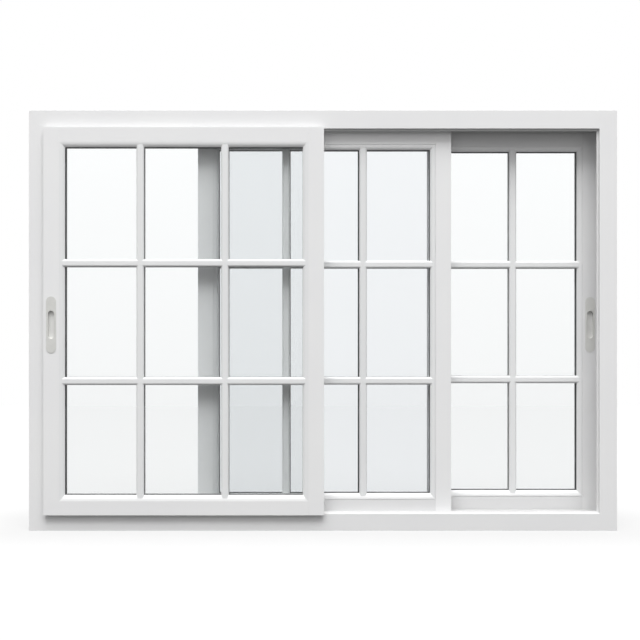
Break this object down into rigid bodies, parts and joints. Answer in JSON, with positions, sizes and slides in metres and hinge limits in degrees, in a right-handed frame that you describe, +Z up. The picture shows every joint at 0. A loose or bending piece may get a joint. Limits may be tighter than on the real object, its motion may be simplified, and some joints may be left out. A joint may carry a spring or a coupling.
{
  "type": "horizontal sliding window",
  "caption": "White framed horizontal sliding window with glazed, barred sashes on parallel tracks and flush finger pulls.",
  "frame": {"origin": "middle of the sill's underside, halfway through the frame's depth", "axes": "+X to the right seen from the room side, +Y away from the room, +Z up"},
  "size_m": [1.68, 0.142, 1.2],
  "materials": {
    "frame_coat": "satin white powder coat",
    "sash_coat": "satin white powder coat",
    "track": "satin white, worn smooth along the top",
    "glass": "clear",
    "gasket": "matt black",
    "spacer": "matt dark grey",
    "roller": "matt nylon",
    "pull": "satin light grey",
    "brush": "grey pile"
  },
  "bodies": {
    "frame": {"frame_head": "frame_coat", "frame_head_walls": "frame_coat", "frame_sill": "frame_coat", "frame_sill_walls": "frame_coat", "frame_left_jamb": "frame_coat", "frame_right_jamb": "frame_coat", "sill_rails": "track", "head_guide_fins": "track"},
    "front_sash": {"front_sash_left_stile": "sash_coat", "front_sash_right_stile": "sash_coat", "front_sash_top_rail": "sash_coat", "front_sash_bottom_rail": "sash_coat", "front_sash_upright_beads": "sash_coat", "front_sash_level_beads": "sash_coat", "front_sash_upright_bars": "sash_coat", "front_sash_level_bars": "sash_coat", "front_sash_glass": "glass", "front_sash_gaskets": "gasket", "front_sash_spacers": "spacer", "front_sash_rollers": "roller", "front_sash_flush_pull": "pull", "front_sash_brush": "brush"},
    "middle_sash": {"middle_sash_left_stile": "sash_coat", "middle_sash_right_stile": "sash_coat", "middle_sash_top_rail": "sash_coat", "middle_sash_bottom_rail": "sash_coat", "middle_sash_upright_beads": "sash_coat", "middle_sash_level_beads": "sash_coat", "middle_sash_upright_bars": "sash_coat", "middle_sash_level_bars": "sash_coat", "middle_sash_glass": "glass", "middle_sash_gaskets": "gasket", "middle_sash_spacers": "spacer", "middle_sash_rollers": "roller", "middle_sash_brush": "brush"},
    "rear_sash": {"rear_sash_left_stile": "sash_coat", "rear_sash_right_stile": "sash_coat", "rear_sash_top_rail": "sash_coat", "rear_sash_bottom_rail": "sash_coat", "rear_sash_upright_beads": "sash_coat", "rear_sash_level_beads": "sash_coat", "rear_sash_upright_bars": "sash_coat", "rear_sash_level_bars": "sash_coat", "rear_sash_glass": "glass", "rear_sash_gaskets": "gasket", "rear_sash_spacers": "spacer", "rear_sash_rollers": "roller", "rear_sash_flush_pull": "pull"}
  },
  "joints": [
    {"name": "front_sash_slide", "type": "slide", "parent": "frame", "child": "front_sash", "axis": [1, 0, 0], "range_m": [0, 0.792]},
    {"name": "middle_sash_slide", "type": "slide", "parent": "frame", "child": "middle_sash", "axis": [1, 0, 0], "range_m": [-0.443, 0.4335]},
    {"name": "rear_sash_slide", "type": "slide", "parent": "frame", "child": "rear_sash", "axis": [1, 0, 0], "range_m": [-1.11, 0]}
  ]
}
